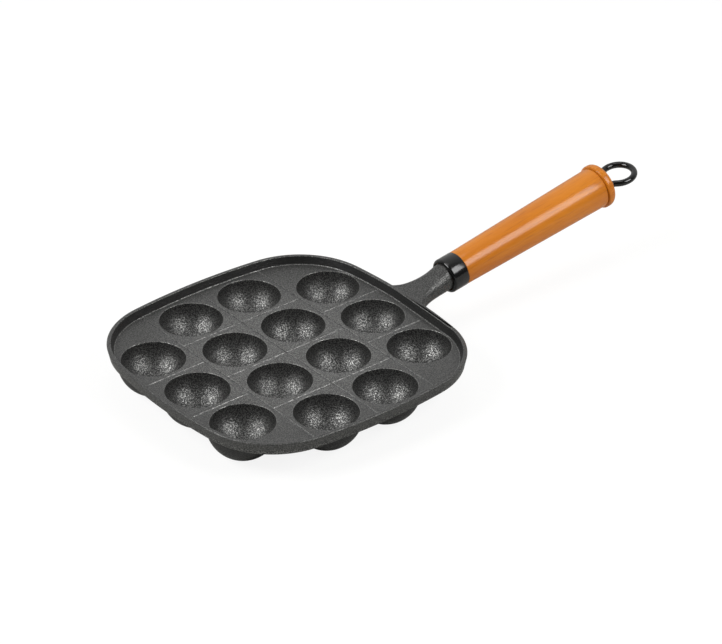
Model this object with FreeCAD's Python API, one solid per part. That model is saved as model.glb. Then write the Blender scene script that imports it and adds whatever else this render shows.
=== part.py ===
import FreeCAD, Part
import math
import os

# A cast-iron pan for round dumplings, with a turned wooden grip.
# Millimetres. +X runs along the handle, +Z is up, and the origin lies on the table
# under the middle of the pan, so the feet of the cups stand at height 0.

V = FreeCAD.Vector

# How far joined pieces run into each other, and how far cuts run past a face
OVERLAP = 1.0

# Pan, seen from above: a square with bulging sides and round corners
PAN_HALF_WIDTH = 96.7
SIDE_BULGE_RADIUS = 400.0
CORNER_RADIUS = 52.7

# Pan, heights above the table
PLATE_TOP = 23.1
PLATE_THICKNESS = 3.4
RIM_HEIGHT = 5.3
RIM_LIP_WIDTH = 2.6
RIM_FOOT_WIDTH = 4.3
WALL_DRAFT = 1.3
LIP_ROUND = 0.9
UNDERSIDE_ROUND = 1.8
UNDERSIDE_STEPS = 2
LIP_STEPS = 2
TRAY_FOOT_ROUND = 0.9
TRAY_OVERSHOOT = 4.0

# Cups: four columns along the handle, of three, four, four and three
CUP_PITCH = 45.5
CUP_COUNTS = (3, 4, 4, 3)
CUP_RADIUS = 20.1
CUP_SHELL_RADIUS = 22.5
CUP_SHELL_DROP = 1.07
CUP_RINGS = 5
CUP_SIDES = 22
CUP_SHELL_RINGS = 3
CUP_SHELL_SIDES = 18

# Cutting lines engraved between the cups
SCORE_WIDTH = 1.5
SCORE_DEPTH = 0.5

# Handle axis: it passes through (AXIS_X, 0, AXIS_Z) and climbs away from the pan.
# Distances along the handle are counted from that point.
AXIS_X = 130.0
AXIS_Z = PLATE_TOP + 7.42
AXIS_TILT = 8.72
NECK_END = -4.75
NECK_END_RADIUS = 9.0
NECK_END_CORNER = 8.64
SHOULDER_RADIUS = 8.8

# Neck sections from the pan to the ferrule: place along X, half width, top and underside
# above the plate, and corner radius
NECK_SECTIONS = (
    (93.4, 20.0, 4.9, -3.0, 2.4),
    (96.4, 16.0, 5.3, -3.0, 2.7),
    (100.4, 12.5, 6.4, -3.0, 3.3),
    (105.4, 10.4, 7.9, -2.95, 4.4),
    (111.4, 9.2, 9.8, -2.85, 5.8),
    (118.0, 8.9, 12.2, -2.6, 7.2),
)

# Ferrule, a black cap over the front of the grip
FERRULE_FRONT = -4.0
FERRULE_BACK = 7.75
FERRULE_RADIUS = 11.6
FERRULE_BORE = 10.5
FERRULE_MOUTH = 9.5
FERRULE_WALL = 1.4
FERRULE_BEAD = 1.7
FERRULE_BEAD_STEPS = 2

# Grip, turned from wood
GRIP_FRONT_RADIUS = 11.45
GRIP_BACK_RADIUS = 13.7
GRIP_GROOVE = 125.5
GRIP_GROOVE_WIDTH = 0.9
GRIP_GROOVE_DEPTH = 0.7
GRIP_END = 131.6
GRIP_FLANGE_RADIUS = 15.0
GRIP_FLANGE_ROUND = 1.0
GRIP_END_ROUND = 3.0
GRIP_END_STEPS = 3
GRIP_SIDES = 48
GRIP_BORE = 3.3
END_RECESS_RADIUS = 8.2
END_RECESS_DEPTH = 13.4

# Tang of the casting and the rod of the hanging loop, which is screwed into it
TANG_RADIUS = 4.5
TANG_END = 22.0
TANG_CLEARANCE = 0.2
TAPPED_DEPTH = 18.0
ROD_RADIUS = 3.0
ROD_FRONT = 5.0
THREAD_CLEARANCE = 0.02
COLLAR_RADIUS = 7.4
COLLAR_LENGTH = 3.0
WASHER_RADIUS = 7.8
WASHER_THICKNESS = 1.6

# Hanging loop, bent from round wire and welded to the rod's collar
LOOP_WIRE_RADIUS = 2.1
LOOP_RADIUS = 10.7
LOOP_CENTRE = 146.0
LOOP_LEG_OFFSET = 5.5
LOOP_SHOULDER_RADIUS = 6.0
LOOP_SHOULDER_STEPS = 3
LOOP_EYE_STEPS = 9
LOOP_WIRE_SIDES = 12


def on_handle(shape):
    """Move a shape drawn along the X axis onto the handle's axis."""
    place = FreeCAD.Placement(V(AXIS_X, 0, AXIS_Z), FreeCAD.Rotation(V(0, 1, 0), -AXIS_TILT))
    shape.Placement = place.multiply(shape.Placement)
    return shape


def arc_about(centre, radius, start, stop, z):
    """Arc about a centre, between two angles in radians, at one height."""
    points = []
    for angle in (start, (start + stop) / 2, stop):
        points.append(V(centre[0] + radius * math.cos(angle), centre[1] + radius * math.sin(angle), z))
    return Part.Arc(*points).toShape()


def pan_outline(inset, z):
    """The pan's outline, drawn in from the rim's outer edge by inset, as eight tangent arcs."""
    back = SIDE_BULGE_RADIUS - PAN_HALF_WIDTH
    reach = SIDE_BULGE_RADIUS - CORNER_RADIUS
    corner = (math.sqrt(2 * reach**2 - back**2) - back) / 2
    turn = math.atan2(corner, corner + back)
    edges = []
    for quarter in range(4):
        start = quarter * math.pi / 2
        side_centre = (-back * math.cos(start), -back * math.sin(start))
        edges.append(arc_about(side_centre, SIDE_BULGE_RADIUS - inset, start - turn, start + turn, z))
        middle = start + math.pi / 4
        far = corner * math.sqrt(2)
        corner_centre = (far * math.cos(middle), far * math.sin(middle))
        stop = start + math.pi / 2 - turn
        edges.append(arc_about(corner_centre, CORNER_RADIUS - inset, start + turn, stop, z))
    return Part.Wire(edges)


def stack_of_outlines(levels):
    """Solid through the pan's outline at several (inset, height) levels, from the lowest up."""
    return Part.makeLoft([pan_outline(inset, z) for inset, z in levels], True, True)


def quarter_steps(steps):
    """Sine and cosine pairs that step through a quarter turn."""
    angles = [math.pi / 2 * step / steps for step in range(steps + 1)]
    return [(math.sin(angle), math.cos(angle)) for angle in angles]


def cup_centres():
    """Centres of the cups, column by column along the handle."""
    centres = []
    for column, count in enumerate(CUP_COUNTS):
        x = (column - (len(CUP_COUNTS) - 1) / 2) * CUP_PITCH
        for row in range(count):
            centres.append((x, (row - (count - 1) / 2) * CUP_PITCH))
    return centres


def bowl(radius, middle, stop, rings, sides):
    """Closed bowl of flat facets that follow a ball, from its middle height down.

    Stop is the angle below level where the bowl ends: flat if it stops short of straight down.
    """
    levels = []
    for ring in range(rings + 1):
        angle = math.radians(stop * ring / rings)
        corners = []
        for side in range(sides):
            turn = 2 * math.pi * side / sides
            reach = radius * math.cos(angle)
            depth = middle - radius * math.sin(angle)
            corners.append(V(reach * math.cos(turn), reach * math.sin(turn), depth))
        levels.append(corners)
    pointed = stop >= 90
    faces = [Part.Face(Part.makePolygon(levels[0] + levels[0][:1]))]
    for high, low in zip(levels, levels[1:]):
        for side in range(sides):
            after = (side + 1) % sides
            corners = [high[side], high[after], low[after], low[side]]
            if pointed and low is levels[-1]:
                corners = [high[side], high[after], V(0, 0, middle - radius)]
            faces.append(Part.Face(Part.makePolygon(corners + corners[:1])))
    if not pointed:
        faces.append(Part.Face(Part.makePolygon(levels[-1] + levels[-1][:1])))
    return Part.makeSolid(Part.makeShell(faces))


def placed_at(shape, centres):
    """Copies of a shape at several places over the table."""
    return [shape.translated(V(x, y, 0)) for x, y in centres]


def score_line(start, stop):
    """V-shaped cutting line on the plate between two points."""
    along = V(stop[0] - start[0], stop[1] - start[1], 0)
    side = V(-along.y, along.x, 0).normalize() * (SCORE_WIDTH / 2)
    rise = V(0, 0, SCORE_DEPTH)
    top = V(start[0], start[1], PLATE_TOP)
    corners = [top - rise, top + side * 2 + rise, top - side * 2 + rise]
    return Part.Face(Part.makePolygon(corners + corners[:1])).extrude(along)


def score_lines():
    """Lines across the pan between the columns, and lines between the cups of each column."""
    far = PAN_HALF_WIDTH
    lines = []
    for column in (-1, 0, 1):
        lines.append(score_line((column * CUP_PITCH, -far), (column * CUP_PITCH, far)))
    for row in (-1, 0, 1):
        lines.append(score_line((-CUP_PITCH, row * CUP_PITCH), (CUP_PITCH, row * CUP_PITCH)))
    for side in (-1, 1):
        for row in (-0.5, 0.5):
            lines.append(score_line((side * CUP_PITCH, row * CUP_PITCH), (side * far, row * CUP_PITCH)))
    return lines


def rounded_section(half_width, half_height, corner):
    """Rounded rectangle in the plane across the handle, centred on the X axis."""
    edges = []
    flat_y = half_width - corner
    flat_z = half_height - corner
    signs = ((1, 1), (-1, 1), (-1, -1), (1, -1))
    last = None
    first = None
    for quarter, (side_y, side_z) in enumerate(signs):
        points = []
        for step in range(3):
            angle = (quarter + step / 2) * math.pi / 2
            y = side_y * flat_y + corner * math.cos(angle)
            z = side_z * flat_z + corner * math.sin(angle)
            points.append(V(0, y, z))
        if last is not None:
            edges.append(Part.makeLine(last, points[0]))
        else:
            first = points[0]
        edges.append(Part.Arc(*points).toShape())
        last = points[2]
    edges.append(Part.makeLine(last, first))
    return Part.Wire(edges)


def neck():
    """Neck that flares from the round ferrule end to a wide, flat root on the rim."""
    wires = []
    for x, half_width, top, under, corner in NECK_SECTIONS:
        wire = rounded_section(half_width, (top - under) / 2, corner)
        wire.translate(V(x, 0, PLATE_TOP + (top + under) / 2))
        wires.append(wire)
    end = rounded_section(NECK_END_RADIUS, NECK_END_RADIUS, NECK_END_CORNER)
    end.translate(V(NECK_END, 0, 0))
    wires.append(on_handle(end))
    return Part.makeLoft(wires, True, True)


def rod_along(start, stop, radius):
    """Round bar on the handle's axis."""
    return on_handle(Part.makeCylinder(radius, stop - start, V(start, 0, 0), V(1, 0, 0)))


def ring_points(along, across, radius, sides):
    """Corners of a many-sided ring that stands square to the X axis."""
    points = []
    for side in range(sides):
        angle = 2 * math.pi * side / sides
        points.append(V(along, across + radius * math.cos(angle), radius * math.sin(angle)))
    return points


def faceted_taper(start, start_radius, stop, stop_radius, sides):
    """Long taper on the handle's axis, with flat sides along it."""
    rings = [ring_points(start, 0, start_radius, sides), ring_points(stop, 0, stop_radius, sides)]
    faces = [Part.Face(Part.makePolygon(ring + ring[:1])) for ring in rings]
    for side in range(sides):
        after = (side + 1) % sides
        corners = [rings[0][side], rings[0][after], rings[1][after], rings[1][side]]
        faces.append(Part.Face(Part.makePolygon(corners + corners[:1])))
    return on_handle(Part.makeSolid(Part.makeShell(faces)))


def turned(points):
    """Solid of revolution about the handle's axis, from (distance, radius) points."""
    outline = Part.makePolygon([V(along, 0, radius) for along, radius in points])
    return on_handle(Part.Face(outline).revolve(V(0, 0, 0), V(1, 0, 0), 360))


def rim_blank():
    """Plate and rim before the tray is sunk into them, with rounded lower and upper edges."""
    under = PLATE_TOP - PLATE_THICKNESS
    lip = PLATE_TOP + RIM_HEIGHT
    levels = []
    for sine, cosine in quarter_steps(UNDERSIDE_STEPS):
        inset = WALL_DRAFT + UNDERSIDE_ROUND * (1 - sine)
        levels.append((inset, under + UNDERSIDE_ROUND * (1 - cosine)))
    for sine, cosine in quarter_steps(LIP_STEPS):
        levels.append((LIP_ROUND * (1 - cosine), lip - LIP_ROUND * (1 - sine)))
    return stack_of_outlines(levels)


def tray_hollow():
    """Shallow hollow inside the rim, with sloping walls, up past the rim's lip."""
    slope = (RIM_FOOT_WIDTH - RIM_LIP_WIDTH) / RIM_HEIGHT
    top = RIM_HEIGHT + TRAY_OVERSHOOT
    levels = [(RIM_FOOT_WIDTH + TRAY_FOOT_ROUND, PLATE_TOP)]
    levels.append((RIM_FOOT_WIDTH - slope * TRAY_FOOT_ROUND, PLATE_TOP + TRAY_FOOT_ROUND))
    levels.append((RIM_FOOT_WIDTH - slope * top, PLATE_TOP + top))
    return stack_of_outlines(levels)


def cut_score_lines(body):
    """Engrave the cutting lines, which end at the foot of the rim."""
    foot = RIM_FOOT_WIDTH + TRAY_FOOT_ROUND
    floor = stack_of_outlines([(foot, PLATE_TOP - PLATE_THICKNESS), (foot, PLATE_TOP + RIM_HEIGHT)])
    lines = [line.common(floor) for line in score_lines()]
    return body.cut(Part.makeCompound(lines))


def pan_casting():
    """Plate, rim, cups, neck and tang, cast in one piece."""
    body = rim_blank().fuse(neck()).cut(tray_hollow())
    body = cut_score_lines(body)
    middle = PLATE_TOP - CUP_SHELL_DROP
    foot_angle = math.degrees(math.asin(middle / CUP_SHELL_RADIUS))
    shell = bowl(CUP_SHELL_RADIUS, middle, foot_angle, CUP_SHELL_RINGS, CUP_SHELL_SIDES)
    hollow = bowl(CUP_RADIUS, PLATE_TOP, 90, CUP_RINGS, CUP_SIDES)
    centres = cup_centres()
    body = body.fuse(placed_at(shell, centres))
    body = body.cut(placed_at(hollow, centres))
    shoulder = FERRULE_FRONT + FERRULE_WALL
    body = body.fuse(rod_along(NECK_END - OVERLAP, shoulder, SHOULDER_RADIUS))
    body = body.fuse(rod_along(shoulder - OVERLAP, TANG_END, TANG_RADIUS))
    hole = rod_along(TANG_END - TAPPED_DEPTH, TANG_END + OVERLAP, ROD_RADIUS + THREAD_CLEARANCE)
    return body.cut(hole).removeSplitter()


def rounded(centre, radius, start, stop, steps):
    """Points of a profile along an arc, between two angles in degrees."""
    points = []
    for step in range(steps + 1):
        angle = math.radians(start + (stop - start) * step / steps)
        points.append((centre[0] + radius * math.cos(angle), centre[1] + radius * math.sin(angle)))
    return points


def ferrule():
    """Black cap with a rounded front lip round the neck."""
    front = FERRULE_FRONT
    inside = front + FERRULE_WALL
    points = [(inside, FERRULE_BORE), (FERRULE_BACK, FERRULE_BORE), (FERRULE_BACK, FERRULE_RADIUS)]
    centre = (front + FERRULE_BEAD, FERRULE_RADIUS - FERRULE_BEAD)
    points += rounded(centre, FERRULE_BEAD, 90, 180, FERRULE_BEAD_STEPS)
    points += [(front, FERRULE_MOUTH), (inside, FERRULE_MOUTH), (inside, FERRULE_BORE)]
    return turned(points)


def wooden_grip():
    """Turned grip: spigot in the ferrule, long taper, groove, and a rounded end flange."""
    front = FERRULE_FRONT + FERRULE_WALL
    back = FERRULE_BACK
    recess = GRIP_END - END_RECESS_DEPTH
    groove_front = GRIP_GROOVE - GRIP_GROOVE_WIDTH / 2
    groove_back = GRIP_GROOVE + GRIP_GROOVE_WIDTH / 2
    core = GRIP_BACK_RADIUS - GRIP_GROOVE_DEPTH
    points = [(groove_front, 0), (groove_front, core), (groove_back, core)]
    points.append((groove_back, GRIP_FLANGE_RADIUS - GRIP_FLANGE_ROUND))
    points.append((groove_back + GRIP_FLANGE_ROUND, GRIP_FLANGE_RADIUS))
    centre = (GRIP_END - GRIP_END_ROUND, GRIP_FLANGE_RADIUS - GRIP_END_ROUND)
    points += rounded(centre, GRIP_END_ROUND, 90, 0, GRIP_END_STEPS)
    points += [(GRIP_END, 0), (groove_front, 0)]
    body = faceted_taper(back, GRIP_FRONT_RADIUS, groove_front, GRIP_BACK_RADIUS, GRIP_SIDES)
    body = body.fuse([turned(points), rod_along(front, back, FERRULE_BORE)])
    tang_room = rod_along(front - OVERLAP, TANG_END + TANG_CLEARANCE, TANG_RADIUS + TANG_CLEARANCE)
    bore = rod_along(front, GRIP_END, GRIP_BORE)
    end_room = rod_along(recess, GRIP_END + OVERLAP, END_RECESS_RADIUS)
    return body.cut([tang_room, bore, end_room]).removeSplitter()


def washer_places():
    """Front and back of the washer at the bottom of the grip's end recess."""
    front = GRIP_END - END_RECESS_DEPTH
    return front, front + WASHER_THICKNESS


def end_washer():
    """Washer that carries the pull of the rod at the bottom of the end recess."""
    front, back = washer_places()
    hole = rod_along(front - OVERLAP, back + OVERLAP, ROD_RADIUS + THREAD_CLEARANCE)
    return rod_along(front, back, WASHER_RADIUS).cut(hole)


def loop_rod():
    """Rod through the grip, and the collar at its back that bears on the washer."""
    back = washer_places()[1]
    rod = rod_along(ROD_FRONT, back + COLLAR_LENGTH / 2, ROD_RADIUS)
    return rod.fuse(rod_along(back, back + COLLAR_LENGTH, COLLAR_RADIUS))


def loop_path(start):
    """Middle line of the loop's wire: a leg, a bend outwards, round the eye, and back."""
    reach = LOOP_RADIUS + LOOP_SHOULDER_RADIUS
    side = LOOP_LEG_OFFSET + LOOP_SHOULDER_RADIUS
    leg_end = LOOP_CENTRE - math.sqrt(reach**2 - side**2)
    swing = math.degrees(math.asin(side / reach))
    half = [(start, -LOOP_LEG_OFFSET)]
    half += rounded((leg_end, -side), LOOP_SHOULDER_RADIUS, 90, swing, LOOP_SHOULDER_STEPS)
    half += rounded((LOOP_CENTRE, 0), LOOP_RADIUS, swing - 180, 0, LOOP_EYE_STEPS)[1:]
    other_half = [(along, -across) for along, across in reversed(half[:-1])]
    return Part.makePolygon([V(along, across, 0) for along, across in half + other_half])


def hanging_loop():
    """Wire eye whose two legs run into the grip's end, welded to the rod that holds the grip."""
    start = washer_places()[1] + COLLAR_LENGTH / 2
    ring = ring_points(start, -LOOP_LEG_OFFSET, LOOP_WIRE_RADIUS, LOOP_WIRE_SIDES)
    sweep = Part.BRepOffsetAPI.MakePipeShell(loop_path(start))
    sweep.setTransitionMode(1)
    sweep.add(Part.makePolygon(ring + ring[:1]))
    sweep.build()
    sweep.makeSolid()
    return on_handle(sweep.shape()).fuse(loop_rod()).removeSplitter()


def main():
    os.makedirs("parts", exist_ok=True)
    makers = (pan_casting, ferrule, wooden_grip, end_washer, hanging_loop)
    for maker in makers:
        shape = maker()
        if shape.ShapeType == "Compound" and len(shape.Solids) == 1:
            shape = shape.Solids[0]
        shape.exportStep("parts/" + maker.__name__ + ".step")
        print(maker.__name__, "solids", len(shape.Solids), "valid", shape.isValid(), "mm3", round(shape.Volume))


main()
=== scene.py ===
# %% [markdown]
# # A cast-iron dumpling pan with a wooden grip
#
# The pan is one iron casting: a plate with a raised rim, fourteen round cups sunk into it and a
# neck for the handle. A black ferrule, a turned wooden grip and a wire loop finish the handle.
# This lesson dresses that object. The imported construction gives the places, and every piece
# that is made here stands where its plain counterpart stands.

# %% Load the frame
import math

import bmesh
import bpy
from mathutils import Matrix, Vector


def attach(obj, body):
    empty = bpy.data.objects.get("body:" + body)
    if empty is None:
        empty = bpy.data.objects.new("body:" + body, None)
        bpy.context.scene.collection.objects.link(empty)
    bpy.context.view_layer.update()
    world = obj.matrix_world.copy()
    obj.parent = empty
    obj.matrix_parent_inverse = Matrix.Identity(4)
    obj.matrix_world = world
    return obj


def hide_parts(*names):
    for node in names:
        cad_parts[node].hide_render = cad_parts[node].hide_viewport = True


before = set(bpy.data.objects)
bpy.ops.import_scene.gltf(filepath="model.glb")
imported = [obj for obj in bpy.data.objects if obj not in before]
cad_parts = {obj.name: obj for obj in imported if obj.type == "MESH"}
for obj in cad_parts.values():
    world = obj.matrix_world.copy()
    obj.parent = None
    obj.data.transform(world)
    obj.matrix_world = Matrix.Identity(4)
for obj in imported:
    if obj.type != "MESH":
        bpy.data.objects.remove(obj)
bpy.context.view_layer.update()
MM = 0.001

# %% [markdown]
# ## The camera
#
# The photograph is taken from the left front with a long lens, from about two metres away. The
# place was solved from the cup mouths and the rim. It is given here as an angle round the pan, a
# height angle and a distance, with a small step to the side that puts the pan left of centre.

# %% Camera
PLATE_TOP = 23.1 * MM
PHOTO_WIDTH_PX = 722
FOCAL_LENGTH_PX = 3435
SENSOR_WIDTH = 36.0
CAMERA_AZIMUTH = math.radians(-38.69)
CAMERA_ELEVATION = math.radians(31.44)
CAMERA_ROLL = math.radians(-0.2)
CAMERA_DISTANCE = 2115.1 * MM
CAMERA_SIDESTEP = 45.75 * MM
CAMERA_LIFT = 18.66 * MM


def compass(azimuth):
    """Level direction away from a viewer who stands at this azimuth."""
    return Vector((-math.sin(azimuth), math.cos(azimuth), 0))


def make_camera():
    away = compass(CAMERA_AZIMUTH)
    back = -away * math.cos(CAMERA_ELEVATION) + Vector((0, 0, math.sin(CAMERA_ELEVATION)))
    right = Vector((math.cos(CAMERA_AZIMUTH), math.sin(CAMERA_AZIMUTH), 0))
    up = back.cross(right)
    turn = Matrix.Rotation(CAMERA_ROLL, 3, back)
    right, up = turn @ right, turn @ up
    place = Vector((0, 0, PLATE_TOP)) + back * CAMERA_DISTANCE
    place += right * CAMERA_SIDESTEP + up * CAMERA_LIFT
    lens = bpy.data.cameras.new("photo_camera")
    lens.sensor_width = SENSOR_WIDTH
    lens.lens = SENSOR_WIDTH * FOCAL_LENGTH_PX / PHOTO_WIDTH_PX
    lens.clip_end = 20
    camera = bpy.data.objects.new("photo_camera", lens)
    columns = Matrix((right, up, back)).transposed()
    camera.matrix_world = Matrix.Translation(place) @ columns.to_4x4()
    bpy.context.scene.collection.objects.link(camera)
    bpy.context.scene.camera = camera
    return camera


camera = make_camera()
print("camera at", [round(c, 3) for c in camera.matrix_world.translation])

# %% [markdown]
# ## Building blocks for finishes
#
# A finish is a small graph of nodes. Every pattern here reads Object coordinates, so it stays put
# on the piece from any side. These helpers only save typing: one makes a node and wires its
# inputs, and the others make the pieces of a graph that come back in each finish.

# %% Node helpers


class Finish:
    """A material with a short way to add nodes and wire them."""

    def __init__(self, name):
        self.material = bpy.data.materials.new(name)
        self.material.use_nodes = True
        self.tree = self.material.node_tree
        self.shader = self.tree.nodes["Principled BSDF"]
        self.place = self.node("ShaderNodeTexCoord").outputs["Object"]

    def node(self, kind, settings=None, **inputs):
        made = self.tree.nodes.new(kind)
        for key, value in (settings or {}).items():
            setattr(made, key, value)
        for key, value in inputs.items():
            self.wire(value, self.socket(made, key))
        return made

    @staticmethod
    def socket(made, key):
        """Input by position, for keys such as in0, or by name with underscores for spaces."""
        if key[:2] == "in" and key[2:].isdigit():
            return made.inputs[int(key[2:])]
        return made.inputs[key.replace("_", " ")]

    def wire(self, value, socket):
        if isinstance(value, bpy.types.NodeSocket):
            self.tree.links.new(value, socket)
        else:
            socket.default_value = value

    def maths(self, operation, *values):
        named = {"in" + str(index): value for index, value in enumerate(values)}
        return self.node("ShaderNodeMath", {"operation": operation}, **named).outputs[0]

    def noise(self, scale, detail=3.0, roughness=0.5, stretch=(1, 1, 1), distortion=0.0):
        spread = self.node("ShaderNodeMapping", Vector=self.place, Scale=stretch).outputs[0]
        return self.node("ShaderNodeTexNoise", Vector=spread, Scale=scale, Detail=detail,
                         Roughness=roughness, Distortion=distortion).outputs[0]

    def between(self, value, low, high, start=0.0, stop=1.0):
        """Turn the range low..high of a value into start..stop, held at its ends."""
        return self.node("ShaderNodeMapRange", in0=value, in1=low, in2=high,
                         in3=start, in4=stop).outputs[0]

    def blend_colours(self, factor, first, second):
        mix = self.node("ShaderNodeMix", {"data_type": "RGBA"})
        self.wire(factor, mix.inputs[0])
        self.wire(first, mix.inputs[6])
        self.wire(second, mix.inputs[7])
        return mix.outputs[2]

    def relief(self, height, distance, strength=1.0):
        """Bump the shader's surface by a height from 0 to 1, over a real distance."""
        bump = self.node("ShaderNodeBump", Height=height, Distance=distance, Strength=strength)
        self.tree.links.new(bump.outputs[0], self.shader.inputs["Normal"])
        return bump

    def coat(self, **settings):
        """Set the shader's own sockets."""
        for key, value in settings.items():
            self.wire(value, self.shader.inputs[key.replace("_", " ")])
        return self.material


WARMTH_OF_GREY = 0.965


def grey(level):
    """A slightly warm grey."""
    return (level, level, level * WARMTH_OF_GREY, 1)


print("half grey is", grey(0.5))

# %% [markdown]
# ## Cast iron
#
# The iron is seasoned: a thin dark oil coat over the grain that the sand mould left. Oil stays in
# the valleys of the grain and bare metal shows on its crests, so the cups glitter where they
# face a light. The flat plate is smoother and more even, and its middle is rubbed brighter. Two
# attributes of the mesh tell the finish more. Wear marks the light, rubbed edges, and is also a
# painted highlight along them. Soot marks the places where grease has baked on, and is also
# painted shade that darkens the grooves, the inside of the rim's wall, the underneath and the
# cups' outsides.

# %% Cast iron finish
GRAIN_SIZE = 0.75 * MM
GRAIN_HEIGHT = 0.27 * MM
GRAIN_ON_PLATE = 0.35
CLOUD_SIZE = 28 * MM
PLATE_BAND = 0.35 * MM
POLISH_REACH = 92 * MM
CREST_START, CREST_FULL = 0.47, 0.60
BARE_VALLEY_ON_PLATE, BARE_CREST_ON_PLATE = 0.14, 0.92
BARE_UNDER_SOOT_AND_SHADE = 0.12
ROUGH_VALLEY, ROUGH_CREST = 0.47, 0.30


def cast_iron_finish():
    iron = Finish("seasoned_cast_iron")
    # Places: the top of the plate, all that lies below it, and the rubbed middle
    height = iron.node("ShaderNodeSeparateXYZ", Vector=iron.place).outputs[2]
    on_plate = iron.maths("COMPARE", height, PLATE_TOP, PLATE_BAND)
    off_plate = iron.maths("SUBTRACT", 1.0, on_plate)
    below_plate = iron.maths("LESS_THAN", height, PLATE_TOP - PLATE_BAND)
    flat_place = iron.node("ShaderNodeVectorMath", {"operation": "MULTIPLY"}, in0=iron.place,
                           in1=(1, 1, 0)).outputs[0]
    reach = iron.node("ShaderNodeVectorMath", {"operation": "LENGTH"}, in0=flat_place).outputs[1]
    middle = iron.between(reach, 0.5 * POLISH_REACH, POLISH_REACH, 1.0, 0.0)
    polish = iron.maths("MULTIPLY", middle, on_plate)
    # Patterns: the grain and slow clouds in the oil, and the marks on the mesh
    grain = iron.noise(1 / GRAIN_SIZE, 2.0, 0.55)
    cloud = iron.noise(1 / CLOUD_SIZE, 2.0, 0.5)
    wear = iron.node("ShaderNodeAttribute", {"attribute_name": "wear"}).outputs["Fac"]
    soot = iron.node("ShaderNodeAttribute", {"attribute_name": "soot"}).outputs["Fac"]
    # Bare metal: all or nothing in the cups, more even on the plate, little under soot and painted
    # shade, so that those places are darker
    free_of_soot_and_shade = iron.between(soot, 0.0, 1.0, 1.0, BARE_UNDER_SOOT_AND_SHADE)
    valley = iron.between(below_plate, 0.0, 1.0, BARE_VALLEY_ON_PLATE, 0.0)
    crest = iron.between(below_plate, 0.0, 1.0, BARE_CREST_ON_PLATE, 1.0)
    crests = iron.between(grain, CREST_START, CREST_FULL, valley, crest)
    speck = iron.maths("MULTIPLY", crests, free_of_soot_and_shade)
    bare = iron.maths("MULTIPLY", speck, 0.95)
    # Colours: black oil, iron that is lighter where it is rubbed, and worn edges in lighter grey,
    # which is also a painted highlight
    oil = iron.blend_colours(cloud, grey(0.004), grey(0.008))
    rough_metal = iron.blend_colours(below_plate, grey(0.135), grey(0.19))
    metal = iron.blend_colours(polish, rough_metal, grey(0.235))
    base = iron.blend_colours(speck, oil, metal)
    worn_and_highlit = iron.maths("MULTIPLY", wear, iron.between(grain, 0.44, 0.58, 0.05, 1.1))
    colour = iron.blend_colours(worn_and_highlit, base, grey(0.30))
    amount = iron.between(off_plate, 0.0, 1.0, GRAIN_ON_PLATE, 1.0)
    iron.relief(iron.maths("MULTIPLY", grain, amount), GRAIN_HEIGHT)
    rough = iron.between(grain, 0.40, 0.60, ROUGH_VALLEY, ROUGH_CREST)
    return iron.coat(Base_Color=colour, Roughness=rough, Metallic=bare, Specular_IOR_Level=0.5)


iron_finish = cast_iron_finish()
print("iron grain", GRAIN_SIZE / MM, "mm")

# %% [markdown]
# ## Varnished wood
#
# The grip is a straight-grained, orange-brown wood under clear varnish. Its grain is noise that
# is stretched along the handle, so the pattern is first turned to lie along the handle's tilt.
# The varnish is the shader's coat: a thin clear layer that gives the long streak of light.

# %% Wood finish
AXIS_TILT = math.radians(8.72)
WOOD_LIGHT = (0.54, 0.172, 0.009, 1)
WOOD_DARK = (0.44, 0.125, 0.005, 1)
WOOD_FIBRE = (0.36, 0.09, 0.005, 1)
WOOD_WARM = (0.62, 0.215, 0.016, 1)
WOOD_PORE = (0.25, 0.07, 0.015, 1)


def wood_finish():
    wood = Finish("varnished_wood")
    lying = wood.node("ShaderNodeMapping", Vector=wood.place, Rotation=(0, AXIS_TILT, 0))
    wood.place = lying.outputs[0]
    fibres = wood.noise(260, 5.0, 0.6, (0.05, 1, 1))
    bands = wood.noise(70, 3.0, 0.5, (0.09, 1, 1), 0.6)
    patches = wood.noise(28, 2.0, 0.5, (0.5, 1, 1))
    pores = wood.noise(900, 1.0, 0.5, (0.06, 1, 1))
    banded = wood.blend_colours(wood.between(bands, 0.35, 0.65), WOOD_LIGHT, WOOD_DARK)
    streaked = wood.blend_colours(wood.between(fibres, 0.45, 0.75, 0.0, 0.55), banded, WOOD_FIBRE)
    warm = wood.blend_colours(wood.between(patches, 0.45, 0.7, 0.0, 0.4), streaked, WOOD_WARM)
    colour = wood.blend_colours(wood.between(pores, 0.60, 0.72, 0.0, 0.28), warm, WOOD_PORE)
    wood.relief(wood.maths("ADD", fibres, pores), 0.07 * MM)
    return wood.coat(Base_Color=colour, Roughness=0.5, Specular_IOR_Level=0.1, Coat_Weight=0.55,
                     Coat_Roughness=0.2)


grip_finish = wood_finish()
print("wood grain lies", round(math.degrees(AXIS_TILT), 2), "degrees above level")

# %% [markdown]
# ## Black enamel and zinc
#
# The ferrule and the loop are steel under gloss black. Real enamel is never a perfect mirror: a
# faint long-wave ripple bends its highlights, and fine dust dulls it in patches.

# %% Black and zinc finishes


def black_finish(name, rough):
    enamel = Finish(name)
    ripple = enamel.noise(160, 2.0)
    dust = enamel.noise(900, 3.0, 0.6)
    colour = enamel.blend_colours(dust, grey(0.003), grey(0.008))
    enamel.relief(ripple, 0.06 * MM, 0.6)
    haze = enamel.between(dust, 0.35, 0.7, rough, rough + 0.06)
    return enamel.coat(Base_Color=colour, Roughness=haze)


def zinc_finish():
    zinc = Finish("plated_steel")
    spangle = zinc.noise(700, 2.0, 0.6)
    colour = zinc.blend_colours(spangle, (0.50, 0.51, 0.52, 1), (0.66, 0.67, 0.68, 1))
    zinc.relief(spangle, 0.03 * MM)
    return zinc.coat(Base_Color=colour, Roughness=0.34, Metallic=1.0)


ferrule_finish = black_finish("gloss_black_enamel", 0.14)
loop_finish = black_finish("gloss_black_wire", 0.06)
washer_finish = zinc_finish()
print("finishes:", ferrule_finish.name, loop_finish.name, washer_finish.name)
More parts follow.
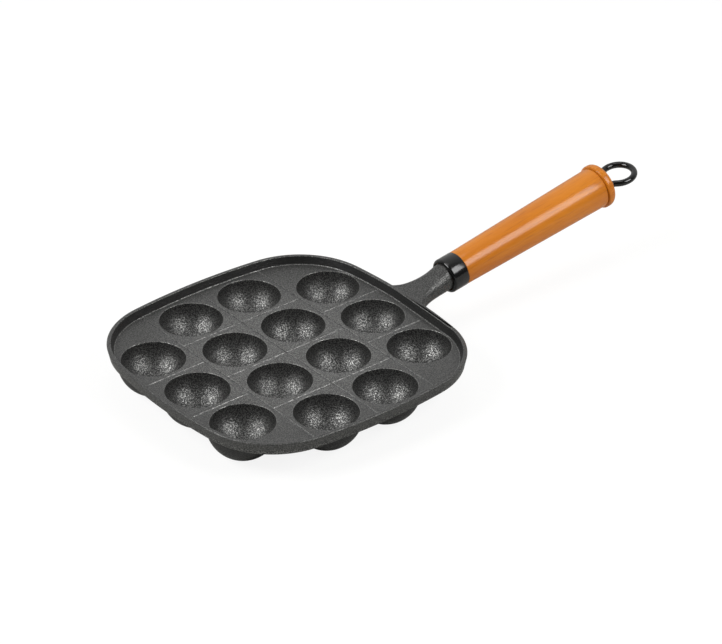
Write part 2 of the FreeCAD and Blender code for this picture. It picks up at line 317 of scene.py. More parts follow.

# %% [markdown]
# ## Handing over a mesh
#
# Each piece ends the same way: doubled points are merged, the faces are turned outwards, the
# mesh becomes an object at the origin with its finish in a slot, it is hung on the root body, and
# the plain part that it stands for is hidden.

# %% Hand over a piece
MERGE_DISTANCE = 0.002 * MM


def hand_over(bm, name, finish, node, crease=35):
    bmesh.ops.remove_doubles(bm, verts=bm.verts, dist=MERGE_DISTANCE)
    bmesh.ops.recalc_face_normals(bm, faces=bm.faces)
    mesh = bpy.data.meshes.new(name)
    bm.to_mesh(mesh)
    bm.free()
    mesh.shade_smooth()
    mesh.set_sharp_from_angle(angle=math.radians(crease))
    mesh.materials.append(finish)
    piece = bpy.data.objects.new(name, mesh)
    bpy.context.scene.collection.objects.link(piece)
    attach(piece, "root")
    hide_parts(node)
    print(name, "has", len(mesh.polygons), "faces")
    return piece


def arc_points(centre, radius, start, stop, steps):
    """Points of a profile along an arc between two angles in degrees."""
    points = []
    for step in range(steps + 1):
        angle = math.radians(start + (stop - start) * step / steps)
        points.append((centre[0] + radius * math.cos(angle), centre[1] + radius * math.sin(angle)))
    return points


def mark(bm, verts, **values):
    """Write values, such as 1 for a worn edge that is also a painted highlight, into the vertices'
    layers of these names.
    """
    for name, value in values.items():
        layer = bm.verts.layers.float[name]
        for vert in verts:
            vert[layer] = value


def spin_profile(bm, corners, centre, axis, steps, marks=()):
    """Turn a chain of corners all the way round an axis. Marks go to the corners in order."""
    verts = [bm.verts.new(corner) for corner in corners]
    for vert, values in zip(verts, marks):
        mark(bm, [vert], **values)
    edges = [bm.edges.new(pair) for pair in zip(verts, verts[1:])]
    bmesh.ops.spin(bm, geom=verts + edges, cent=centre, axis=axis, angle=math.tau, steps=steps,
                   use_merge=True)


print("points closer than", MERGE_DISTANCE / MM, "mm will be merged")

# %% [markdown]
# ## Cups
#
# A cup is a ball-shaped hollow with a softly rounded mouth. Below the plate a slightly larger
# ball shows from outside, ground flat where it stands, and darkened with soot and painted shade.
# Both walls are drawn first as profiles: pairs of a reach from the cup's axis and a height. The
# points beside the mouth are close together, so that its worn edge, which is also a painted
# highlight, stays a thin line.

# %% Cup profiles
CUP_PITCH = 45.5 * MM
CUP_COUNTS = (3, 4, 4, 3)
CUP_RADIUS = 20.1 * MM
MOUTH_ROUND = 0.4 * MM
MOUTH_STEPS = 4
MOUTH_WEAR_AND_HIGHLIGHT = 0.7
BOWL_RINGS = 20
SHELL_RADIUS = 22.5 * MM
SHELL_DROP = 1.07 * MM
SHELL_RINGS = 16
FOOT_ROUND = 0.8 * MM
PLATE_THICKNESS = 3.4 * MM
UNDERSIDE = PLATE_TOP - PLATE_THICKNESS


def cup_centres():
    centres = []
    for column, count in enumerate(CUP_COUNTS):
        x = (column - (len(CUP_COUNTS) - 1) / 2) * CUP_PITCH
        for row in range(count):
            centres.append((x, (row - (count - 1) / 2) * CUP_PITCH))
    return centres


def bowl_profile():
    """Reach and height of the cup's inside, from the plate to the bottom."""
    edge = CUP_RADIUS + MOUTH_ROUND
    points = arc_points((edge, PLATE_TOP - MOUTH_ROUND), MOUTH_ROUND, 90, 180, MOUTH_STEPS)
    first = math.degrees(math.asin(MOUTH_ROUND / CUP_RADIUS))
    bowl = arc_points((0, PLATE_TOP), CUP_RADIUS, -first, -90, BOWL_RINGS)
    return points + bowl[1:]


def shell_profile():
    """Reach and height of the cup's outside, from the plate's underside to its flat foot."""
    middle = PLATE_TOP - SHELL_DROP
    start = math.degrees(math.asin((middle - UNDERSIDE) / SHELL_RADIUS))
    stop = math.degrees(math.asin((middle - FOOT_ROUND / 2) / SHELL_RADIUS))
    shell = arc_points((0, middle), SHELL_RADIUS, -start, -stop, SHELL_RINGS)
    return shell + [(shell[-1][0] - FOOT_ROUND, 0.0), (0.0, 0.0)]


print("cups:", len(cup_centres()), "with", len(bowl_profile()), "points down each bowl")

# %% [markdown]
# ## Turning the cups
#
# A profile that goes round an axis is what the spin operator is for. A cup could also be a
# sphere cut in half, but a turned wall takes the rounded mouth and the flat foot in one go.

# %% Turn the cups
CUP_STEPS = 72


def add_cups(bm):
    free_of_soot_and_shade = {"wear": 0, "soot": 0}
    # The mouth's worn edge is also a painted highlight that makes it lighter
    worn_and_highlit = {"wear": MOUTH_WEAR_AND_HIGHLIGHT, "soot": 0}
    bowl = bowl_profile()
    bowl_marks = [free_of_soot_and_shade] + [worn_and_highlit] * (MOUTH_STEPS - 1) + [free_of_soot_and_shade] * (len(bowl) - MOUTH_STEPS)
    shell = shell_profile()
    # Soot on the cups' outsides is also painted shade that makes them darker
    shell_marks = [{"wear": 0, "soot": 1}] * len(shell)
    for x, y in cup_centres():
        for profile, marks in ((bowl, bowl_marks), (shell, shell_marks)):
            corners = [(x + reach, y, height) for reach, height in profile]
            spin_profile(bm, corners, (x, y, 0), (0, 0, 1), CUP_STEPS, marks)


print("points inside each bowl:", len(bowl_profile()) * CUP_STEPS)

# %% [markdown]
# ## Outline of the pan
#
# Seen from above, the pan is a square with bulging sides and round corners: eight arcs that run
# smoothly into each other. The outline is one function, so the same curve serves for every ring
# of the rim, drawn in by a little more or less.

# %% Outline
PAN_HALF_WIDTH = 96.7 * MM
SIDE_BULGE_RADIUS = 400 * MM
CORNER_RADIUS = 52.7 * MM


def outline_point(turn, inset):
    """Point of the pan's outline, drawn in by inset. Turn counts quarters, from 0 to 4."""
    beyond = SIDE_BULGE_RADIUS - PAN_HALF_WIDTH
    reach = SIDE_BULGE_RADIUS - CORNER_RADIUS
    corner = (math.sqrt(2 * reach**2 - beyond**2) - beyond) / 2
    half_side = math.atan2(corner, corner + beyond)
    quarter = math.floor(turn)
    part = (turn - quarter) * 2
    if part < 1:
        angle = half_side * (2 * part - 1)
        radius = SIDE_BULGE_RADIUS - inset
        point = Vector((radius * math.cos(angle) - beyond, radius * math.sin(angle), 0))
    else:
        angle = half_side + (math.pi / 2 - 2 * half_side) * (part - 1)
        radius = CORNER_RADIUS - inset
        point = Vector((corner + radius * math.cos(angle), corner + radius * math.sin(angle), 0))
    return Matrix.Rotation(quarter * math.pi / 2, 3, "Z") @ point


corner_reach = outline_point(0.75, 0).length
print("corners reach", round(corner_reach / MM, 1), "mm from the middle")

# %% [markdown]
# ## Section of the rim
#
# Cut through, the rim is a low wall that gets thinner upwards. It has a small hollow fillet at
# its foot inside, a rounded lip, and a big rounding underneath. The section is a list of rings,
# and each one says how far in and how high it lies, and how worn and how sooty the iron is there.
# The wear on the foot and the lip is also a painted highlight, and the soot inside the wall and
# underneath is also painted shade.

# %% Rim section
RIM_HEIGHT = 5.3 * MM
RIM_LIP_WIDTH = 2.6 * MM
RIM_FOOT_WIDTH = 4.3 * MM
WALL_DRAFT = 1.3 * MM
LIP_ROUND = 0.9 * MM
LIP_INNER_ROUND = 0.5 * MM
FOOT_FILLET = 0.6 * MM
FOOT_STEPS = 4
RIM_FOOT_WEAR_AND_HIGHLIGHT = 0.6
LIP_WEAR_AND_HIGHLIGHT = 0.35
UNDERSIDE_ROUND = 1.8 * MM


def rim_section():
    """Rings of the rim from the plate up, over the lip and under: inset, height, wear that is
    also a painted highlight, and soot that is also painted shade.
    """
    lip = PLATE_TOP + RIM_HEIGHT
    foot_centre = (RIM_FOOT_WIDTH + FOOT_FILLET, PLATE_TOP + FOOT_FILLET)
    foot = arc_points(foot_centre, FOOT_FILLET, 270, 180, FOOT_STEPS)
    inner = arc_points((RIM_LIP_WIDTH - LIP_INNER_ROUND, lip - LIP_INNER_ROUND), LIP_INNER_ROUND,
                       0, 90, 4)
    outer = arc_points((LIP_ROUND, lip - LIP_ROUND), LIP_ROUND, 90, 180, 6)
    under_centre = (WALL_DRAFT + UNDERSIDE_ROUND, UNDERSIDE + UNDERSIDE_ROUND)
    under = arc_points(under_centre, UNDERSIDE_ROUND, 180, 270, 6)
    rings = [(inset, height, 0, 0) for inset, height in foot[:1]]
    # Worn foot fillet and lip edge, also a painted highlight; soot inside the wall and underneath,
    # also painted shade
    rings += [(inset, height, RIM_FOOT_WEAR_AND_HIGHLIGHT, 0) for inset, height in foot[1:-1]]
    rings += [(inset, height, 0, 1) for inset, height in (foot[-1], inner[0])]
    rings += [(inset, height, LIP_WEAR_AND_HIGHLIGHT, 0) for inset, height in inner[1:-1]]
    rings += [(inset, height, 0, 0) for inset, height in inner[-1:] + outer + under[:-1]]
    return rings + [under[-1] + (0, 1)]


print("rim rings:", len(rim_section()))

# %% [markdown]
# ## Rim
#
# The rim could be a sweep, but here one ring of points is placed on the outline, then extruded
# again and again. After each extrusion the new ring is put at the next inset and height of the
# section: up the inner wall, over the lip, down the outside and under. Each point keeps its
# place along the outline in a layer named turn, which survives the extrusions.

# %% Rim
RING_POINTS = 256


def new_ring(bm, edges):
    """Extrude an open ring and give back its new vertices and edges."""
    grown = bmesh.ops.extrude_edge_only(bm, edges=edges)["geom"]
    verts = [part for part in grown if isinstance(part, bmesh.types.BMVert)]
    return verts, [part for part in grown if isinstance(part, bmesh.types.BMEdge)]


def add_rim(bm):
    turn = bm.verts.layers.float["turn"]
    ring = bmesh.ops.create_circle(bm, segments=RING_POINTS, radius=PAN_HALF_WIDTH)["verts"]
    for index, vert in enumerate(ring):
        vert[turn] = 4 * index / RING_POINTS
    edges = list({edge for vert in ring for edge in vert.link_edges})
    for index, (inset, height, wear, soot) in enumerate(rim_section()):
        if index:
            ring, edges = new_ring(bm, edges)
        # Each ring gets its wear, also a painted highlight, and its soot, also painted shade
        mark(bm, ring, wear=wear, soot=soot)
        for vert in ring:
            vert.co = outline_point(vert[turn], inset)
            vert.co.z = height


print("rim points:", RING_POINTS * len(rim_section()))

# %% [markdown]
# ## Cutting lines
#
# Thin V grooves between the cups show where to cut the batter. They run straight across the
# pan one way, and stop at these grooves the other way, because the outer columns have three
# cups and the inner ones four. Each line is given by its direction, its place and a test that
# tells which part of the plate it crosses.

# %% Cutting lines
SCORE_HALF_WIDTH = 0.65 * MM


def in_pan_floor(point):
    limit = PAN_HALF_WIDTH - RIM_FOOT_WIDTH - FOOT_FILLET
    return abs(point.x) < limit and abs(point.y) < limit


def score_rows():
    """Cutting lines: which way they lie, where, and the part of the plate that they cross."""
    rows = [(0, column * CUP_PITCH, in_pan_floor) for column in (-1, 0, 1)]

    def inner(point):
        return in_pan_floor(point) and abs(point.x) < CUP_PITCH

    def outer(point):
        return in_pan_floor(point) and abs(point.x) > CUP_PITCH

    rows += [(1, row * CUP_PITCH, inner) for row in (-1, 0, 1)]
    rows += [(1, row * CUP_PITCH, outer) for row in (-0.5, 0.5)]
    return rows


def from_line(point):
    """Distance of a point of the plate from the nearest cutting line that reaches it."""
    distances = [PAN_HALF_WIDTH]
    for across, place, keeps in score_rows():
        if keeps(point) or abs(abs(point.x) - CUP_PITCH) < SCORE_HALF_WIDTH:
            distances.append(abs(point[across] - place))
    return min(distances)


print("cutting lines:", len(score_rows()))

# %% [markdown]
# ## Plate
#
# With the cups and the rim in place, the plate is the flat face between their open edges, above
# and below. The fill operator finds such a face, holes and all. Then the plate is sliced along
# both sides and the middle of each cutting line, and the middle is pushed down: that makes a
# neat V without any boolean. The groove's bottom is sooty and painted in shade, and its edges are
# worn light with a painted highlight.

# %% Plate
SCORE_DEPTH = 0.6 * MM
WEAR_AND_HIGHLIGHT_MARGIN = 0.2 * MM
LINE_WEAR_AND_HIGHLIGHT = 0.32
LEVEL_SLACK = 0.001 * MM


def open_edges_at(bm, height):
    edges = []
    for edge in bm.edges:
        level = all(abs(vert.co.z - height) < LEVEL_SLACK for vert in edge.verts)
        if edge.is_boundary and level:
            edges.append(edge)
    return edges


def slice_line(bm, across, place, keeps):
    """Cut the plate's faces along a line across x (0) or y (1), where keeps allows it."""
    plate = bm.faces.layers.int["plate"]
    normal = Vector((1, 0, 0)) if across == 0 else Vector((0, 1, 0))
    reach = SCORE_HALF_WIDTH + WEAR_AND_HIGHLIGHT_MARGIN
    for offset in (-reach, -SCORE_HALF_WIDTH, 0, SCORE_HALF_WIDTH, reach):
        faces = [face for face in bm.faces if face[plate] and keeps(face.calc_center_median())]
        edges = {edge for face in faces for edge in face.edges}
        verts = {vert for face in faces for vert in face.verts}
        bmesh.ops.bisect_plane(bm, geom=faces + list(edges) + list(verts), dist=LEVEL_SLACK,
                               plane_co=normal * (place + offset), plane_no=normal)


def fill_plate(bm):
    plate = bm.faces.layers.int["plate"]
    for height in (PLATE_TOP, UNDERSIDE):
        filled = bmesh.ops.triangle_fill(bm, use_beauty=True, edges=open_edges_at(bm, height))
        for face in filled["geom"]:
            if isinstance(face, bmesh.types.BMFace):
                face[plate] = height == PLATE_TOP
    for across, place, keeps in score_rows():
        slice_line(bm, across, place, keeps)


def sink_lines(bm):
    """Push the middle of each cutting line down. Its edges are worn, with a painted highlight,
    and its bottom is sooty, with painted shade.
    """
    for vert in bm.verts:
        if abs(vert.co.z - PLATE_TOP) < LEVEL_SLACK and in_pan_floor(vert.co):
            distance = from_line(vert.co)
            # Edges worn light, also a painted highlight; the bottom sooty, also painted shade
            if distance < SCORE_HALF_WIDTH + LEVEL_SLACK:
                mark(bm, [vert], wear=LINE_WEAR_AND_HIGHLIGHT)
            if distance < 2 * LEVEL_SLACK:
                mark(bm, [vert], wear=0, soot=1)
                vert.co.z = PLATE_TOP - SCORE_DEPTH


print("each line is", 2 * SCORE_HALF_WIDTH / MM, "mm wide and", SCORE_DEPTH / MM, "mm deep")

# %% [markdown]
# ## Sections of the neck
#
# The neck flares from the round end in the ferrule to a wide, flat root on the rim. It is given
# as a row of rounded rectangles. Between them the sizes are eased with a smooth curve, so the
# flare has no kinks.

# %% Neck sections
AXIS_POINT = Vector((130 * MM, 0, PLATE_TOP + 7.42 * MM))
HANDLE = Matrix.Translation(AXIS_POINT) @ Matrix.Rotation(-AXIS_TILT, 4, "Y")
NECK_TILT_START = 108 * MM
# Height above the plate at which a tilted section stays in place, in mm
NECK_TILT_HEIGHT = 6.7
# Place along X, half width, top and underside above the plate, and corner radius, in mm
NECK_SECTIONS = (
    (94.3, 18.6, 5.33, -3.0, 2.4),
    (96.4, 16.0, 5.42, -3.0, 2.7),
    (100.4, 12.5, 6.4, -3.0, 3.3),
    (105.4, 10.4, 7.9, -2.95, 4.4),
    (111.4, 9.2, 9.8, -2.85, 5.8),
    (118.0, 8.95, 12.2, -2.6, 7.4),
    (125.3, 8.95, 15.7, -2.2, 8.9),
    (127.4, 8.9, 15.95, -1.85, 8.88),
)


def eased(rows, part):
    """Smooth curve through the rows of a table, at a part from 0 to the last row's number."""
    index = min(int(part), len(rows) - 2)
    t = part - index
    before = rows[max(index - 1, 0)]
    after = rows[min(index + 2, len(rows) - 1)]
    result = []
    for p0, p1, p2, p3 in zip(before, rows[index], rows[index + 1], after):
        bend = 2 * p0 - 5 * p1 + 4 * p2 - p3
        swing = 3 * p1 - p0 - 3 * p2 + p3
        result.append(p1 + 0.5 * t * (p2 - p0 + t * (bend + t * swing)))
    return result


def neck_ring_point(turn, section):
    """Point of a rounded section of the neck. Turn goes from 0 to 1 round it."""
    x, half_width, top, under, corner = section
    angle = math.tau * turn
    half_height = (top - under) / 2
    corner = min(corner, half_height - 0.01)
    side_y = math.copysign(1, math.cos(angle))
    side_z = math.copysign(1, math.sin(angle))
    y = side_y * (half_width - corner) + corner * math.cos(angle)
    z = (top + under) / 2 + side_z * (half_height - corner) + corner * math.sin(angle)
    lean = max(0.0, x * MM - NECK_TILT_START) / (AXIS_POINT.x - NECK_TILT_START)
    shift = -math.tan(AXIS_TILT) * min(lean, 1.0) * (z - NECK_TILT_HEIGHT)
    return Vector(((x + shift) * MM, y * MM, PLATE_TOP + z * MM))


print("neck sections:", len(NECK_SECTIONS))

# %% [markdown]
# ## Neck
#
# The first ring is a circle with a cap, and each next ring is extruded from the last one and put
# on its eased section. The far end is closed with one face, hidden in the ferrule.

# %% Neck
NECK_RING_POINTS = 48
NECK_RINGS = 26


def add_neck(bm):
    turn = bm.verts.layers.float["turn"]
    made = bmesh.ops.create_circle(bm, cap_ends=True, segments=NECK_RING_POINTS, radius=MM)
    ring = made["verts"]
    for index, vert in enumerate(ring):
        vert[turn] = (index + 0.5) / NECK_RING_POINTS
    edges = list({edge for vert in ring for edge in vert.link_edges})
    for step in range(NECK_RINGS + 1):
        if step:
            ring, edges = new_ring(bm, edges)
        section = eased(NECK_SECTIONS, (len(NECK_SECTIONS) - 1) * step / NECK_RINGS)
        for vert in ring:
            vert.co = neck_ring_point(vert[turn], section)
    bmesh.ops.contextual_create(bm, geom=edges)


print("neck points:", NECK_RING_POINTS * (NECK_RINGS + 1))

# %% [markdown]
# ## The whole casting
#
# Now the parts are put together in one mesh, in the order that the steps need: cups and rim
# first, then the plate between them, the cutting lines, and the neck last. Two layers on its
# points feed the finish. Wear, which is also a painted highlight, is on the edges of the lines,
# the mouths, the lip and the foot of the rim. Soot, which is also painted shade, is where grease
# bakes on: in the lines, inside the rim's wall, underneath, and on the cups' outsides. The layers
# that only helped to build the mesh are taken off at the end.

# %% Casting


def make_casting():
    bm = bmesh.new()
    # Layers: turn only helps to build; wear is also a painted highlight and soot also painted
    # shade
    for name in ("turn", "wear", "soot"):
        bm.verts.layers.float.new(name)
    bm.faces.layers.int.new("plate")
    add_cups(bm)
    add_rim(bm)
    bmesh.ops.remove_doubles(bm, verts=bm.verts, dist=MERGE_DISTANCE)
    fill_plate(bm)
    sink_lines(bm)
    add_neck(bm)
    bm.verts.layers.float.remove(bm.verts.layers.float["turn"])
    bm.faces.layers.int.remove(bm.faces.layers.int["plate"])
    return hand_over(bm, "iron_casting", iron_finish, "pan_casting", 40)


casting = make_casting()

# %% [markdown]
# ## Ferrule
#
# The ferrule is a cap of thin steel with a rolled front lip. It is turned round the handle's
# axis, like all that follows on the handle: the profile is drawn along X and the finished mesh is
# then laid on the tilted axis.

# %% Ferrule
HANDLE_STEPS = 96
# Distances along the handle's axis and radii, in mm
FERRULE_FRONT = -4.0
FERRULE_BACK = 7.75
FERRULE_RADIUS = 11.6
FERRULE_BORE = 10.5
FERRULE_MOUTH = 9.5
FERRULE_BEAD = 1.7
FERRULE_WALL = 1.4
FERRULE_BACK_ROUND = 0.3
FERRULE_MOUTH_ROUND = 0.4


def turned_on_handle(profile):
    """Closed mesh from (distance along, radius) corners in mm, on the handle's axis."""
    bm = bmesh.new()
    corners = [(along * MM, 0, radius * MM) for along, radius in profile]
    spin_profile(bm, corners, (0, 0, 0), (1, 0, 0), HANDLE_STEPS)
    bmesh.ops.transform(bm, matrix=HANDLE, verts=bm.verts)
    return bm


def make_ferrule():
    inside = FERRULE_FRONT + FERRULE_WALL
    back = (FERRULE_BACK - FERRULE_BACK_ROUND, FERRULE_RADIUS - FERRULE_BACK_ROUND)
    mouth = (FERRULE_FRONT + FERRULE_MOUTH_ROUND, FERRULE_MOUTH + FERRULE_MOUTH_ROUND)
    centre = (FERRULE_FRONT + FERRULE_BEAD, FERRULE_RADIUS - FERRULE_BEAD)
    profile = [(inside, FERRULE_BORE), (FERRULE_BACK, FERRULE_BORE)]
    profile += arc_points(back, FERRULE_BACK_ROUND, 0, 90, 3)
    profile += arc_points(centre, FERRULE_BEAD, 90, 180, 8)
    profile += arc_points(mouth, FERRULE_MOUTH_ROUND, 180, 270, 4)
    profile += [(inside, FERRULE_MOUTH), (inside, FERRULE_BORE)]
    bm = turned_on_handle(profile)
    return hand_over(bm, "steel_ferrule", ferrule_finish, "ferrule")


ferrule = make_ferrule()

# %% [markdown]
# ## Wooden grip
#
# The grip swells evenly from the ferrule to the back. A narrow groove sets off an end flange,
# which is a little wider and rounded over. A hollow in its end takes the legs of the loop.

# %% Grip
# Distances along the handle's axis and radii, in mm
GRIP_FRONT_RADIUS = 11.45
GRIP_BACK_RADIUS = 13.7
GRIP_GROOVE = 125.5
GRIP_END = 131.6
GRIP_FLANGE_RADIUS = 15.0
GRIP_END_ROUND = 3.0
GRIP_BORE = 3.3
GRIP_FRONT_ROUND = 0.5
GRIP_TAPER_STEPS = 12
GROOVE_EDGE_ROUND = 0.35
GROOVE_FLOOR_RADIUS = 13.0
FLANGE_FRONT_ROUND = 1.0
# Places of the groove's edge, its floor and the flange's front, counted from the groove
EDGE_FROM_GROOVE = -0.8
FLOOR_FROM_GROOVE = (-0.15, 0.25)
FLANGE_FROM_GROOVE = 1.3
SPIGOT_CLEARANCE = 0.02
END_RECESS_RADIUS = 8.2
END_RECESS_DEPTH = 13.4
END_RECESS_ROUND = 0.5
TANG_RADIUS = 4.7
TANG_DEPTH = 22.2


def grip_profile():
    front = FERRULE_FRONT + FERRULE_WALL
    recess = GRIP_END - END_RECESS_DEPTH
    spigot = FERRULE_BORE - SPIGOT_CLEARANCE
    profile = [(front, TANG_RADIUS), (front, spigot), (FERRULE_BACK, spigot)]
    shoulder = (FERRULE_BACK + GRIP_FRONT_ROUND, GRIP_FRONT_RADIUS - GRIP_FRONT_ROUND)
    profile += arc_points(shoulder, GRIP_FRONT_ROUND, 180, 90, 4)
    for step in range(1, GRIP_TAPER_STEPS):
        part = step / GRIP_TAPER_STEPS
        radius = GRIP_FRONT_RADIUS + (GRIP_BACK_RADIUS - GRIP_FRONT_RADIUS) * part
        profile.append((FERRULE_BACK + (GRIP_GROOVE - FERRULE_BACK) * part, radius))
    edge = (GRIP_GROOVE + EDGE_FROM_GROOVE, GRIP_BACK_RADIUS - GROOVE_EDGE_ROUND)
    profile += arc_points(edge, GROOVE_EDGE_ROUND, 90, 10, 3)
    profile += [(GRIP_GROOVE + side, GROOVE_FLOOR_RADIUS) for side in FLOOR_FROM_GROOVE]
    flange = (GRIP_GROOVE + FLANGE_FROM_GROOVE, GRIP_FLANGE_RADIUS - FLANGE_FRONT_ROUND)
    profile += arc_points(flange, FLANGE_FRONT_ROUND, 180, 90, 6)
    end_centre = (GRIP_END - GRIP_END_ROUND, GRIP_FLANGE_RADIUS - GRIP_END_ROUND)
    profile += arc_points(end_centre, GRIP_END_ROUND, 90, 0, 10)
    rim = (GRIP_END - END_RECESS_ROUND, END_RECESS_RADIUS + END_RECESS_ROUND)
    profile += arc_points(rim, END_RECESS_ROUND, 0, -90, 4)
    profile += [(recess, END_RECESS_RADIUS), (recess, GRIP_BORE), (TANG_DEPTH, GRIP_BORE)]
    return profile + [(TANG_DEPTH, TANG_RADIUS), (front, TANG_RADIUS)]


def make_grip():
    bm = turned_on_handle(grip_profile())
    return hand_over(bm, "turned_wooden_grip", grip_finish, "wooden_grip")


grip = make_grip()

# %% [markdown]
# ## Hanging loop
#
# The loop is one bent wire. A ring of points is its section, and it grows like the wire is bent:
# extruded straight for a leg, spun round the outside of the first bend, spun round the eye, and
# back the same way. The rod with its collar, hidden in the grip, is turned and kept as a second
# closed shell in the same mesh.

# %% Hanging loop
WIRE_RADIUS = 2.1 * MM
WIRE_POINTS = 28
LOOP_RADIUS = 10.7 * MM
LOOP_CENTRE = 146 * MM
LEG_OFFSET = 5.5 * MM
SHOULDER_RADIUS = 6 * MM
LEG_START = 120.5 * MM
SHOULDER_STEPS = 10
EYE_STEPS = 64
# Distance along the handle's axis and radius of the rod and its collar, in mm
ROD_PROFILE = ((5.0, 0.0), (5.0, 2.2), (5.8, 3.0), (119.8, 3.0), (119.8, 7.1), (120.1, 7.4),
               (122.5, 7.4), (122.8, 7.1), (122.8, 0.0))


def grow(bm, edges, centre=None, angle=0.0, steps=1, forward=0.0):
    """Lengthen the wire from its open ring: straight on, or round a centre in its plane."""
    if centre is None:
        verts, edges = new_ring(bm, edges)
        bmesh.ops.translate(bm, verts=verts, vec=(forward, 0, 0))
        return edges
    verts = list({vert for edge in edges for vert in edge.verts})
    grown = bmesh.ops.spin(bm, geom=verts + edges, cent=centre, axis=(0, 0, 1), angle=angle,
                           steps=steps)["geom_last"]
    return [part for part in grown if isinstance(part, bmesh.types.BMEdge)]


def make_loop():
    reach = LOOP_RADIUS + SHOULDER_RADIUS
    side = LEG_OFFSET + SHOULDER_RADIUS
    leg_end = LOOP_CENTRE - math.sqrt(reach**2 - side**2)
    bend = math.acos(side / reach)
    bm = bmesh.new()
    turn = Matrix.Translation((LEG_START, -LEG_OFFSET, 0)) @ Matrix.Rotation(math.pi / 2, 4, "Y")
    made = bmesh.ops.create_circle(bm, cap_ends=True, segments=WIRE_POINTS, radius=WIRE_RADIUS,
                                   matrix=turn)
    edges = list({edge for vert in made["verts"] for edge in vert.link_edges})
    leg = leg_end - LEG_START
    edges = grow(bm, edges, forward=leg)
    edges = grow(bm, edges, (leg_end, -side, 0), -bend, SHOULDER_STEPS)
    edges = grow(bm, edges, (LOOP_CENTRE, 0, 0), math.pi + 2 * bend, EYE_STEPS)
    edges = grow(bm, edges, (leg_end, side, 0), -bend, SHOULDER_STEPS)
    edges = grow(bm, edges, forward=-leg)
    bmesh.ops.contextual_create(bm, geom=edges)
    corners = [(along * MM, 0, radius * MM) for along, radius in ROD_PROFILE]
    spin_profile(bm, corners, (0, 0, 0), (1, 0, 0), WIRE_POINTS * 2)
    bmesh.ops.transform(bm, matrix=HANDLE, verts=bm.verts)
    return hand_over(bm, "wire_hanging_loop", loop_finish, "hanging_loop")


loop = make_loop()

# %% [markdown]
# ## Washer
#
# The washer's own solid already has the right shape, so it stays and only gets its zinc finish.

# %% Washer
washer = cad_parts["end_washer"]
washer.data.materials.clear()
washer.data.materials.append(washer_finish)

# %% [markdown]
# ## Floor
#
# The photograph is a cut-out on white. So the floor shows white to the camera, by a part of
# emission that only camera rays see, and still keeps a faint shadow. To reflections it is a
# middle grey, so that the iron's sides don't get too bright.

# %% Floor
FLOOR_HALF_SIZE = 6.0
FLOOR_HEIGHT = -0.05 * MM
FLOOR_WHITENESS = 0.85
FLOOR_GLOW = 1.04
FLOOR_COLOUR = grey(0.8)
FLOOR_IN_REFLECTIONS = grey(0.46)


def make_floor():
    bm = bmesh.new()
    bmesh.ops.create_grid(bm, x_segments=1, y_segments=1, size=FLOOR_HALF_SIZE)
    bmesh.ops.translate(bm, verts=bm.verts, vec=(0, 0, FLOOR_HEIGHT))
    mesh = bpy.data.meshes.new("studio_floor")
    bm.to_mesh(mesh)
    bm.free()
    floor = bpy.data.objects.new("studio_floor", mesh)
    bpy.context.scene.collection.objects.link(floor)
    paper = Finish("white_paper_floor")
    seen = paper.node("ShaderNodeLightPath").outputs
    shade = paper.blend_colours(seen["Is Glossy Ray"], FLOOR_COLOUR, FLOOR_IN_REFLECTIONS)
    paper.coat(Base_Color=shade, Roughness=0.9, Specular_IOR_Level=0.0)
    glow = paper.node("ShaderNodeEmission", Color=(1, 1, 1, 1), Strength=FLOOR_GLOW)
    share = paper.maths("MULTIPLY", seen["Is Camera Ray"], FLOOR_WHITENESS)
    mix = paper.node("ShaderNodeMixShader", in0=share, in1=paper.shader.outputs[0],
                     in2=glow.outputs[0])
    paper.tree.links.new(mix.outputs[0], paper.tree.nodes["Material Output"].inputs["Surface"])
    mesh.materials.append(paper.material)
    return floor


floor = make_floor()
print("floor at", FLOOR_HEIGHT / MM, "mm")

# %% [markdown]
# ## Surroundings
#
# The world is white to the camera. As light it is pale behind the pan and dark in front, which
# is why walls that face the camera look nearly black. A dot product with the direction straight
# behind the pan gives that slope, and a smooth step softens it.

# %% Surroundings
FRONT_LEVEL = 0.03
BACK_LEVEL = 0.75
SLOPE_START, SLOPE_END = -0.35, 0.75


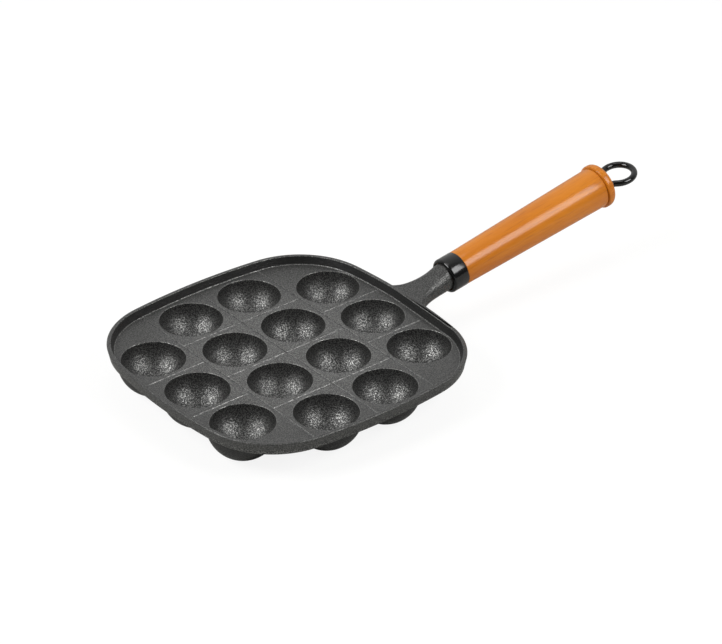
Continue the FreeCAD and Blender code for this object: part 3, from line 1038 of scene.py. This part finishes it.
def make_world():
    """White to the camera. As light it is pale behind the pan and above, darker in front."""
    world = bpy.data.worlds.new("studio_surroundings")
    world.use_nodes = True
    bpy.context.scene.world = world
    nodes, links = world.node_tree.nodes, world.node_tree.links
    backdrop = nodes["Background"]
    place = nodes.new("ShaderNodeTexCoord")
    behind = nodes.new("ShaderNodeVectorMath")
    behind.operation = "DOT_PRODUCT"
    behind.inputs[1].default_value = compass(CAMERA_AZIMUTH)
    links.new(place.outputs["Generated"], behind.inputs[0])
    level = nodes.new("ShaderNodeMapRange")
    level.interpolation_type = "SMOOTHSTEP"
    for socket, value in zip(level.inputs, (0.0, SLOPE_START, SLOPE_END, FRONT_LEVEL, BACK_LEVEL)):
        socket.default_value = value
    links.new(behind.outputs["Value"], level.inputs[0])
    seen = nodes.new("ShaderNodeLightPath")
    choice = nodes.new("ShaderNodeMix")
    links.new(seen.outputs["Is Camera Ray"], choice.inputs[0])
    links.new(level.outputs[0], choice.inputs[2])
    choice.inputs[3].default_value = 1.0
    links.new(choice.outputs[0], backdrop.inputs["Strength"])
    backdrop.inputs["Color"].default_value = (1, 1, 1, 1)
    return world


world = make_world()
print("surroundings from", FRONT_LEVEL, "in front to", BACK_LEVEL, "behind")

# %% [markdown]
# ## Softboxes
#
# Two large softboxes stand left and right of the pan, a little in front of it and high up. They
# give the two bright patches in every cup and the streak along the grip. A weak one overhead
# keeps the plate from going flat.

# %% Softboxes
# Name, bearing and elevation in degrees, distance and size in metres, power in watts
SOFTBOXES = (
    ("softbox_left", 112, 42, 1.6, (0.8, 0.8), 22),
    ("softbox_right", -112, 42, 1.6, (0.8, 0.8), 17),
    ("softbox_top", 0, 80, 1.8, (0.6, 0.6), 3),
)


def make_softbox(name, bearing, elevation, distance, size, power):
    """Area light that looks at the pan. Bearing counts from straight behind it, to the left."""
    away = compass(CAMERA_AZIMUTH + math.radians(bearing))
    height = math.radians(elevation)
    place = away * math.cos(height) * distance + Vector((0, 0, math.sin(height) * distance))
    lamp = bpy.data.lights.new(name, "AREA")
    lamp.shape = "RECTANGLE"
    lamp.size, lamp.size_y = size
    lamp.energy = power
    light = bpy.data.objects.new(name, lamp)
    light.location = place
    light.rotation_euler = place.to_track_quat("Z", "Y").to_euler()
    bpy.context.scene.collection.objects.link(light)
    return light


for box in SOFTBOXES:
    make_softbox(*box)
bpy.context.scene.view_settings.view_transform = "Standard"
print("softboxes:", len(SOFTBOXES))
